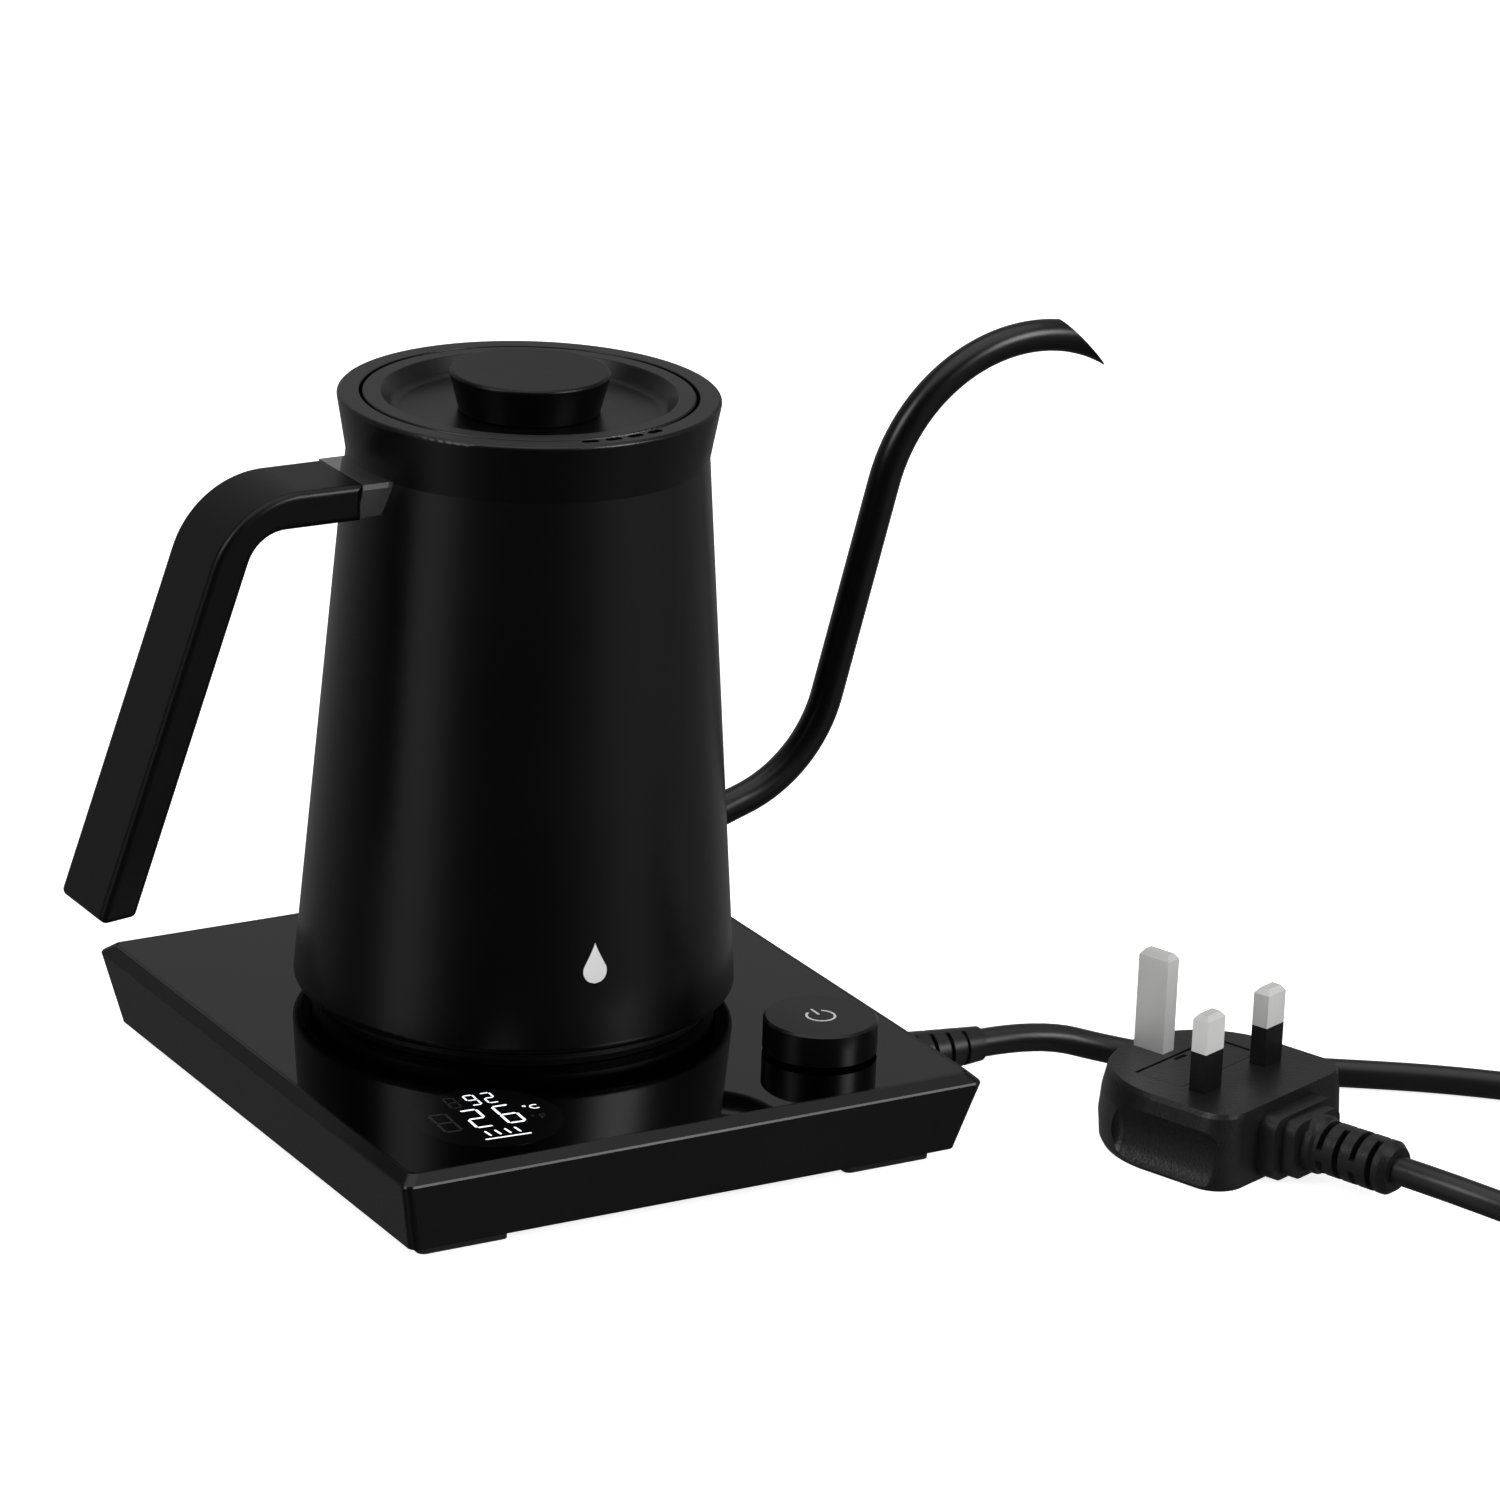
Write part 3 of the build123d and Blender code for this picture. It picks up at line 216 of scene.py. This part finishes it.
BRUSH_UP = (1, 1, 0.02)
FINISHES = {
    "coated_steel": finish("coated_steel", (0.0014, 0.0014, 0.0015), 0.3, size=0.0011, depth=0.000006,
                           spread=0.02),
    "base_shell": finish("base_shell", (0.003, 0.003, 0.0031), 0.24, size=0.0008, depth=0.000004,
                         spread=0.03, specular=0.4),
    "black_glass": finish("black_glass", (0.0003, 0.0003, 0.0004), 0.03, size=0.004, depth=0.0000004,
                          spread=0.015),
    "dark_plastic": finish("dark_plastic", (0.004, 0.004, 0.004), 0.5, size=0.0004, depth=0.00003),
    "connector_plastic": finish("connector_plastic", (0.03, 0.03, 0.031), 0.42, size=0.0005,
                                depth=0.00002),
    "rubber": finish("rubber", (0.011, 0.011, 0.011), 0.7, size=0.0005, depth=0.00004),
    "silicone": finish("silicone", (0.15, 0.15, 0.155), 0.45, size=0.0012, depth=0.00002),
    "screw_steel": finish("screw_steel", (0.55, 0.55, 0.56), 0.28, 1.0, size=0.0003, depth=0.000008),
    "brass_contact": finish("brass_contact", (0.78, 0.6, 0.3), 0.22, 1.0, size=0.0004, depth=0.000006),
    "component_black": finish("component_black", (0.02, 0.02, 0.022), 0.45, size=0.0003,
                              depth=0.00002),
    "component_blue": finish("component_blue", (0.05, 0.1, 0.3), 0.25, size=0.002, depth=0.00002,
                             tint=0.25),
    "copper_winding": finish("copper_winding", (0.66, 0.3, 0.13), 0.3, 1.0, size=0.0004,
                             depth=0.00008, stretch=(0.02, 1, 1)),
    "bare_aluminium": finish("bare_aluminium", (0.74, 0.74, 0.75), 0.35, 1.0, size=0.0004,
                             depth=0.00001, stretch=(0.03, 1, 1)),
    "display_lens": finish("display_lens", (0.003, 0.003, 0.0032), 0.05, size=0.003, depth=0.000001,
                           spread=0.02),
    "inner_steel": finish("inner_steel", (0.6, 0.6, 0.61), 0.3, 1.0, size=0.0003, depth=0.00001,
                          axis=JUG, pattern="rings"),
    "handle_plastic": finish("handle_plastic", (0.0016, 0.0016, 0.0017), 0.34, size=0.0004,
                             depth=0.000012, spread=0.03, specular=0.3),
    "polished_metal": finish("polished_metal", (0.5, 0.5, 0.51), 0.08, 0.92, size=0.002,
                             depth=0.000001, spread=0.03),
    "knob_black": finish("knob_black", (0.0018, 0.0018, 0.0019), 0.26, size=0.0003, depth=0.000006,
                         axis=DIAL, pattern="rings"),
    "cord_pvc": finish("cord_pvc", (0.007, 0.007, 0.0074), 0.33, size=0.0009, depth=0.00002),
    "plug_pvc": finish("plug_pvc", (0.007, 0.007, 0.0074), 0.36, size=0.0007, depth=0.00005,
                       pattern="leather"),
    "nickel_pin": finish("nickel_pin", (0.95, 0.95, 0.94), 0.2, 0.4, size=0.0004, depth=0.000006,
                         stretch=BRUSH_UP),
    "pin_sleeve": finish("pin_sleeve", (0.006, 0.006, 0.006), 0.25, size=0.0006, depth=0.000006),
}


def retint(made, factor, colours):
    """A finish's shade replaced by one of two colours, from 0 to 1 of a factor."""
    tree = made.node_tree
    shader = tree.nodes["Principled BSDF"]
    slow = add(tree, "TexNoise", {"Scale": 120.0}).outputs[0]
    soft = ramp(tree, slow, [(0.3, (0.85, 0.85, 0.85)), (0.7, (1.0, 1.0, 1.0))])
    pair = ramp(tree, factor, [(0.49, colours[0]), (0.51, colours[1])])
    mixed = add(tree, "Mix", {0: 1.0, 6: pair, 7: soft}, data_type="RGBA", blend_type="MULTIPLY")
    tree.links.new(mixed.outputs[2], shader.inputs["Base Color"])
    return made


def along(tree, direction, start):
    """Distance along a direction from a point, over the object."""
    place = add(tree, "TexCoord").outputs["Object"]
    out = add(tree, "VectorMath", {0: place, 1: start}, operation="SUBTRACT").outputs[0]
    return add(tree, "VectorMath", {0: out, 1: direction}, operation="DOT_PRODUCT").outputs["Value"]


def board_finish():
    """Green solder mask over paler tracks."""
    made = finish("circuit_board", (0.02, 0.13, 0.05), 0.3, size=0.0008, depth=0.00001)
    tree = made.node_tree
    place = add(tree, "TexCoord").outputs["Object"]
    tracks = add(tree, "TexBrick", {"Vector": place, "Scale": 90.0, "Mortar Size": 0.03})
    return retint(made, tracks.outputs["Fac"], ((0.015, 0.12, 0.045), (0.05, 0.22, 0.09)))


WIRES_RIGHT, WIRES_BACK, WIRES_FRONT = 11.2, 39.7, -38.0      # beyond these, the outer wire


def wire_finish():
    """Brown for the outer of the two wires and blue for the inner one."""
    made = finish("wire_pvc", (0.1, 0.05, 0.03), 0.35, size=0.001, depth=0.00001)
    tree = made.node_tree
    spans = [along(tree, (1, 0, 0), (WIRES_RIGHT * MM, 0, 0)),
             along(tree, (0, 1, 0), (0, WIRES_BACK * MM, 0)),
             along(tree, (0, -1, 0), (0, WIRES_FRONT * MM, 0))]
    outer = math(tree, "MAXIMUM", math(tree, "MAXIMUM", spans[0], spans[1]), spans[2])
    brown = math(tree, "GREATER_THAN", outer, 0.0)
    return retint(made, brown, ((0.02, 0.08, 0.35), (0.14, 0.05, 0.02)))


FUSE_MIDDLE = (0, 12.0, 12.5)
FUSE_BARE = 6.7           # half the length of the ceramic between the caps


def fuse_finish():
    """Glazed ceramic between two plated caps."""
    made = finish("fuse_ceramic", (0.72, 0.7, 0.64), 0.2, size=0.001, depth=0.00001)
    tree = made.node_tree
    way = (cos(PLUG_TURN), sin(PLUG_TURN), 0)
    middle = plug_point(*FUSE_MIDDLE)
    cap = math(tree, "GREATER_THAN", math(tree, "ABSOLUTE", along(tree, way, middle)), FUSE_BARE * MM)
    tree.links.new(cap, tree.nodes["Principled BSDF"].inputs["Metallic"])
    return retint(made, cap, ((0.75, 0.72, 0.66), (0.7, 0.69, 0.67)))


def plug_point(u, v, z):
    """A point from its millimetres along the plug's own directions from the earth pin."""
    x = PLUG[0] + u * cos(PLUG_TURN) + v * sin(PLUG_TURN)
    y = PLUG[1] + u * sin(PLUG_TURN) - v * cos(PLUG_TURN)
    return Vector((x, y, z)) * MM


FINISHES["circuit_board"] = board_finish()
FINISHES["wire_pvc"] = wire_finish()
FINISHES["fuse_ceramic"] = fuse_finish()

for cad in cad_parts.values():
    for used in cad.material_slots:
        used.material = FINISHES[used.material.name.split(".")[0]]


def soften(name, width, segments=3):
    """A small bevel that catches light along a CAD node's edges."""
    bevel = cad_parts[name].modifiers.new("edge", "BEVEL")
    bevel.width = width * MM
    bevel.segments = segments
    bevel.limit_method = "ANGLE"
    bevel.angle_limit = radians(40)
    bevel.harden_normals = True


# ---- mesh helpers ----
def piece(name, body, material, build):
    """A new mesh piece that build fills, in millimetres, and that rides on a body."""
    shape = bmesh.new()
    build(shape)
    bmesh.ops.recalc_face_normals(shape, faces=shape.faces)
    mesh = bpy.data.meshes.new(name)
    shape.to_mesh(mesh)
    shape.free()
    mesh.transform(Matrix.Scale(MM, 4))
    mesh.materials.append(material)
    made = bpy.data.objects.new(name, mesh)
    bpy.context.scene.collection.objects.link(made)
    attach(made, body)
    return made


def plate(shape, outline, low, high):
    """A thin flat plate of an outline of (x, y) points, between two heights."""
    rings = [[shape.verts.new((x, y, z)) for x, y in outline] for z in (low, high)]
    count = len(outline)
    for i in range(count):
        j = (i + 1) % count
        shape.faces.new((rings[0][i], rings[0][j], rings[1][j], rings[1][i]))
    shape.faces.new(rings[1])
    shape.faces.new(list(reversed(rings[0])))


def stroke(start, end, width):
    """A bar with pointed ends, as the segments of a display have."""
    a, b = Vector(start), Vector(end)
    way = (b - a).normalized()
    half = Vector((-way.y, way.x)) * width / 2
    back = way * width / 2
    return [a, a + back + half, b - back + half, b, b - back - half, a + back - half]


def arc_band(centre, radius, width, first, last, count=28):
    """Part of a flat ring, between two angles in degrees."""
    angles = [radians(first + (last - first) * i / count) for i in range(count + 1)]
    outer = [(centre[0] + (radius + width / 2) * cos(a), centre[1] + (radius + width / 2) * sin(a))
             for a in angles]
    inner = [(centre[0] + (radius - width / 2) * cos(a), centre[1] + (radius - width / 2) * sin(a))
             for a in reversed(angles)]
    return outer + inner


# ---- display under the glass ----
LIT = finish("lit_segment", (0.95, 0.97, 1.0), 0.4, glow=1.0, tint=0.03, size=0.0004, depth=0.000002)
DIM = finish("dim_segment", (0.03, 0.03, 0.031), 0.3, tint=0.1, size=0.0004, depth=0.000002)
SEGMENTS = {"a": (0, 2, 1, 2), "b": (1, 2, 1, 1), "c": (1, 1, 1, 0), "d": (0, 0, 1, 0),
            "e": (0, 1, 0, 0), "f": (0, 2, 0, 1), "g": (0, 1, 1, 1)}
DIGITS = {"2": "abged", "6": "afgedc", "9": "abgfcd", "8": "abcdefg"}
DISPLAY_TURN = radians(-4)


def on_display(points):
    """Points of the display's own plane, turned and placed on the base."""
    c, s = cos(DISPLAY_TURN), sin(DISPLAY_TURN)
    return [(DISPLAY[0] + x * c - y * s, DISPLAY[1] + x * s + y * c) for x, y in points]


def digit(name, middle, low, wide, high, line):
    """The outlines of one digit's segments."""
    outlines = []
    for key in DIGITS[name]:
        x0, y0, x1, y1 = SEGMENTS[key]
        a = Vector((middle - wide / 2 + wide * x0, low + high * y0 / 2))
        b = Vector((middle - wide / 2 + wide * x1, low + high * y1 / 2))
        gap = (b - a).normalized() * 0.12
        outlines.append(on_display(stroke(a + gap, b - gap, line)))
    return outlines


def unit_letter(letter, x, y, size):
    """A degree ring and a C or an F, as on any thermometer."""
    ring = arc_band((x - 0.95 * size, y + 0.42 * size), 0.14 * size, 0.09 * size, 0, 350)
    outlines = [ring]
    if letter == "C":
        outlines.append(arc_band((x, y), 0.45 * size, 0.16 * size, 45, 315))
        return [on_display(line) for line in outlines]
    left, top = x - 0.3 * size, y + 0.5 * size
    outlines.append(stroke((left, y - 0.5 * size), (left, top), 0.15 * size))
    outlines.append(stroke((left, top), (left + 0.65 * size, top), 0.15 * size))
    outlines.append(stroke((left, y + 0.05 * size), (left + 0.5 * size, y + 0.05 * size), 0.15 * size))
    return [on_display(line) for line in outlines]


def display_pieces():
    """The smoked disc with its set and measured temperatures, units and level bar."""
    top = GLASS_TOP

    def disc(shape):
        rim = [(DISPLAY[0] + DISPLAY_R * cos(a), DISPLAY[1] + DISPLAY_R * sin(a))
               for a in (2 * pi * i / 120 for i in range(120))]
        plate(shape, rim, top - 0.05, top + 0.01)

    lit = digit("2", -2.5, -4.2, 3.7, 9.4, 0.62) + digit("6", 4.9, -4.2, 3.7, 9.4, 0.62)
    lit += digit("9", 0.7, 7.4, 2.2, 5.4, 0.42) + digit("2", 4.6, 7.4, 2.2, 5.4, 0.42)
    lit += unit_letter("C", 11.7, 2.3, 2.2)
    lit += [on_display(stroke((x - 0.2, -6.5), (x + 0.2, -9.3), 0.5)) for x in (-3.5, -1.25, 1.0, 3.25)]
    lit.append(on_display(stroke((-5.4, -10.7), (5.3, -10.7), 0.5)))
    ghost = digit("8", -9.6, -4.2, 3.7, 9.4, 0.62) + digit("8", -3.9, 7.4, 2.2, 5.4, 0.42)
    ghost += unit_letter("F", 11.4, -3.2, 2.3)

    def lines(outlines):
        def build(shape):
            for outline in outlines:
                plate(shape, [tuple(p) for p in outline], top - 0.04, top + 0.025)
        return build

    piece("display_face", "root", FINISHES["display_lens"], disc)
    piece("display_lit", "root", LIT, lines(lit))
    piece("display_dim", "root", DIM, lines(ghost))


display_pieces()


# ---- plain printed signs: power on the dial, a water drop on the jug ----
PRINT = finish("white_print", (0.8, 0.8, 0.8), 0.45, tint=0.04, size=0.0003, depth=0.000004)


def power_sign(shape):
    low, high = DIAL_TOP - 0.05, DIAL_TOP + 0.02
    plate(shape, arc_band(DIAL, 3.1, 0.55, 122, 418), low, high)
    plate(shape, stroke((DIAL[0], DIAL[1] + 0.6), (DIAL[0], DIAL[1] + 4.3), 0.55), low, high)


def jug_radius(z):
    """Outer radius of the jug's tapered body at a height."""
    return JUG_LOW_R + (JUG_NECK_R - JUG_LOW_R) * (z - JUG_LOW) / (JUG_NECK - JUG_LOW)


DROP_LOW = 41.0
DROP_FACING = radians(-97)


def water_drop(shape):
    """A drop laid round the tapered body, as a grid that follows its curve."""
    r, tip, rows, columns = 2.7, 6.3, 30, 10
    grid = []
    for i in range(rows + 1):
        b = -r + (r + tip) * i / rows
        join = r * 0.42
        half = sqrt(max(r * r - b * b, 0.0))
        if b > join:
            half = sqrt(r * r - join * join) * (max(tip - b, 0.0) / (tip - join)) ** 1.15
        half = max(half, 0.02)
        z = DROP_LOW + r + b
        line = []
        for j in range(columns + 1):
            out = jug_radius(z) + 0.03
            angle = DROP_FACING + half * (2 * j / columns - 1) / out
            line.append(shape.verts.new((JUG[0] + out * cos(angle), JUG[1] + out * sin(angle), z)))
        grid.append(line)
    for below, above in zip(grid, grid[1:]):
        for j in range(columns):
            shape.faces.new((below[j], below[j + 1], above[j + 1], above[j]))


piece("power_sign", "knob", PRINT, power_sign)
piece("water_drop", "jug", PRINT, water_drop)


# ---- mains cord ----
def cord_points():
    """From the base's gland behind the plug to the coil, its three and a half turns, and to the plug."""
    route = [Vector((92.0 - MIDDLE_X, -38.0, 11.0)) * MM, Vector((108.0 - MIDDLE_X, -38.0, 11.0)) * MM]
    route += [plug_point(*p) for p in (
        (15.3, -22.9, 6.0), (26.6, -8.6, 3.6), (37.5, 6.0, 3.3), (49.0, 20.5, 3.3), (60.5, 36.5, 3.3),
        (70.5, 55.0, 3.3), (77.8, 75.5, 4.6), (83.5, 95.0, 9.0))]
    inner, outer, low, high = COIL_INNER, COIL_OUTER, COIL_LOW, COIL_HIGH
    stations = [(-15, outer, high), (300, outer, high), (345, inner, high), (600, inner, high),
                (645, inner, low), (920, inner, low), (965, outer, low), (1245, outer, low)]
    step = 22.5
    count = int((stations[-1][0] - stations[0][0]) / step)
    for i in range(count + 1):
        angle = stations[0][0] + step * i
        for (a0, r0, z0), (a1, r1, z1) in zip(stations, stations[1:]):
            if a0 <= angle <= a1:
                share = (angle - a0) / (a1 - a0)
                reach, rise = r0 + (r1 - r0) * share, z0 + (z1 - z0) * share
        turn = radians(angle)
        route.append(plug_point(COIL[0] + reach * cos(turn), COIL[1] + reach * sin(turn), rise))
    route += [plug_point(*p) for p in (
        (8.4, 113.5, 4.0), (4.6, 100.5, 5.2), (1.4, 88.0, 7.2), (0, 76, 8.2), (0, 66, 8.2))]
    return route


def mains_cord():
    curve = bpy.data.curves.new("mains_cord", "CURVE")
    curve.dimensions = "3D"
    curve.bevel_depth = CORD_D / 2 * MM
    curve.bevel_resolution = 7
    curve.resolution_u = 8
    curve.use_fill_caps = True
    route = cord_points()
    line = curve.splines.new("NURBS")
    line.points.add(len(route) - 1)
    for point, spot in zip(line.points, route):
        point.co = (*spot, 1.0)
    line.order_u = 3
    line.use_endpoint_u = True
    curve.materials.append(FINISHES["cord_pvc"])
    made = bpy.data.objects.new("mains_cord", curve)
    bpy.context.scene.collection.objects.link(made)
    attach(made, "root")
    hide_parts("cord_lead", "cord_coil", "cord_tail")


mains_cord()
soften("glass_top", 0.25)


# ---- floor ----
def floor():
    """A wide pale floor that glows a little, so that only faint shadows show on it."""
    mesh = bpy.data.meshes.new("floor")
    shape = bmesh.new()
    bmesh.ops.create_grid(shape, x_segments=8, y_segments=8, size=6.0)
    shape.to_mesh(mesh)
    shape.free()
    made = bpy.data.materials.new("floor")
    made.use_nodes = True
    tree = made.node_tree
    tree.nodes.clear()
    grain = add(tree, "TexNoise", {"Scale": 3.0, "Detail": 2.0}).outputs[0]
    shade = ramp(tree, grain, [(0.3, 0.78), (0.7, 0.8)])
    matt = add(tree, "BsdfDiffuse", {"Color": shade})
    glow = add(tree, "Emission", {"Color": (1, 1, 1, 1), "Strength": 0.86})
    both = add(tree, "AddShader", {0: matt.outputs[0], 1: glow.outputs[0]})
    add(tree, "OutputMaterial", {"Surface": both.outputs[0]})
    mesh.materials.append(made)
    ground = bpy.data.objects.new("floor", mesh)
    ground.visible_glossy = False
    ground.visible_shadow = False
    bpy.context.scene.collection.objects.link(ground)


floor()
